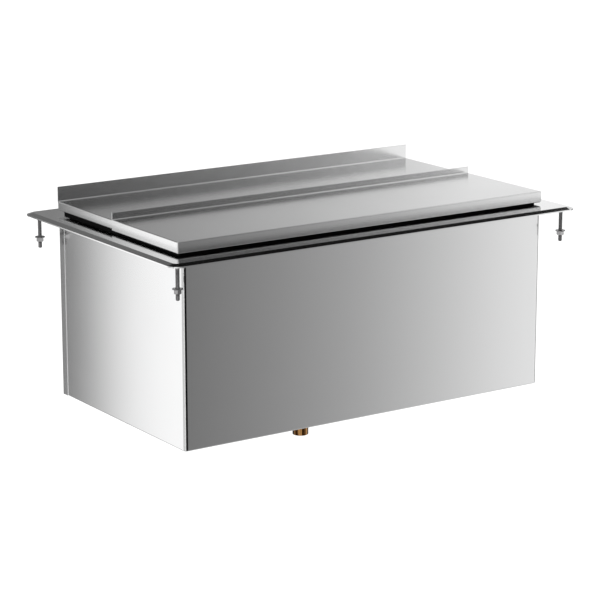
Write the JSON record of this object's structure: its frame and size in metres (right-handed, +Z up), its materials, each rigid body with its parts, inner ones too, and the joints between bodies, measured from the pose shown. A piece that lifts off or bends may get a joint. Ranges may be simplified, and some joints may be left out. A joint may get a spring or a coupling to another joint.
{
  "type": "drop-in ice bin",
  "caption": "Insulated stainless ice bin that drops into a worktop and hangs by its wide rim, with a sliding front cover, a lift-off rear cover, threaded hold-down studs and a brass drain.",
  "frame": {"origin": "middle of the worktop cut-out, in the plane of the worktop's top, where the rim's hem rests", "axes": "+X along the bin's length to its right, -Y towards its front, +Z up; the rim and covers are above z 0, the casing, studs and drain hang below"},
  "size_m": [0.9144, 0.5588, 0.507],
  "materials": {
    "stainless": "fine brushed grain along the length",
    "liner_stainless": "brushed, food grade",
    "fastener_steel": "bright zinc",
    "black_plastic": "satin black",
    "brass": "satin, turned",
    "rubber": "matt",
    "foam": "closed-cell foam, seen nowhere from outside"
  },
  "bodies": {
    "bin": {"rim_frame": "stainless", "outer_casing": "stainless", "back_panel": "stainless", "bottom_panel": "stainless", "drain_plate": "stainless", "bottom_rivets": "fastener_steel", "ice_liner": "liner_stainless", "liner_gasket": "rubber", "foam_insulation": "foam", "drain_flange": "liner_stainless", "drain_coupling": "brass", "drain_gasket": "rubber", "drain_backnut": "brass", "drain_tail": "brass", "drain_washer": "rubber", "drain_locknut": "brass", "rim_studs": "fastener_steel", "breaker_strip_front": "black_plastic", "breaker_strip_rear": "black_plastic", "breaker_strip_left": "black_plastic", "breaker_strip_right": "black_plastic"},
    "rear_cover": {"rear_cover": "stainless", "rear_cover_stiffener": "stainless", "rear_cover_runner_left": "black_plastic", "rear_cover_runner_right": "black_plastic", "rear_cover_runner_back": "black_plastic"},
    "front_cover": {"front_cover": "stainless", "front_cover_glide_left": "black_plastic", "front_cover_glide_right": "black_plastic", "front_cover_glide_front": "black_plastic", "front_cover_stops": "black_plastic"},
    "strainer": {"strainer_disc": "liner_stainless", "strainer_knob": "liner_stainless"},
    "clamp_front_left": {"washer_front_left": "fastener_steel", "nut_front_left": "fastener_steel"},
    "clamp_front_right": {"washer_front_right": "fastener_steel", "nut_front_right": "fastener_steel"},
    "clamp_rear_left": {"washer_rear_left": "fastener_steel", "nut_rear_left": "fastener_steel"},
    "clamp_rear_right": {"washer_rear_right": "fastener_steel", "nut_rear_right": "fastener_steel"}
  },
  "joints": [
    {"name": "rear_cover_lift", "type": "slide", "parent": "bin", "child": "rear_cover", "axis": [0, 0, 1], "range_m": [0, 0.12]},
    {"name": "front_cover_slide", "type": "slide", "parent": "rear_cover", "child": "front_cover", "axis": [0, 1, 0], "range_m": [0, 0.2]},
    {"name": "strainer_lift", "type": "slide", "parent": "bin", "child": "strainer", "axis": [0, 0, 1], "range_m": [0, 0.25]},
    {"name": "clamp_front_left_run", "type": "slide", "parent": "bin", "child": "clamp_front_left", "axis": [0, 0, 1], "range_m": [-0.01, 0.03]},
    {"name": "clamp_front_right_run", "type": "slide", "parent": "bin", "child": "clamp_front_right", "axis": [0, 0, 1], "range_m": [-0.01, 0.03]},
    {"name": "clamp_rear_left_run", "type": "slide", "parent": "bin", "child": "clamp_rear_left", "axis": [0, 0, 1], "range_m": [-0.01, 0.03]},
    {"name": "clamp_rear_right_run", "type": "slide", "parent": "bin", "child": "clamp_rear_right", "axis": [0, 0, 1], "range_m": [-0.01, 0.03]}
  ]
}
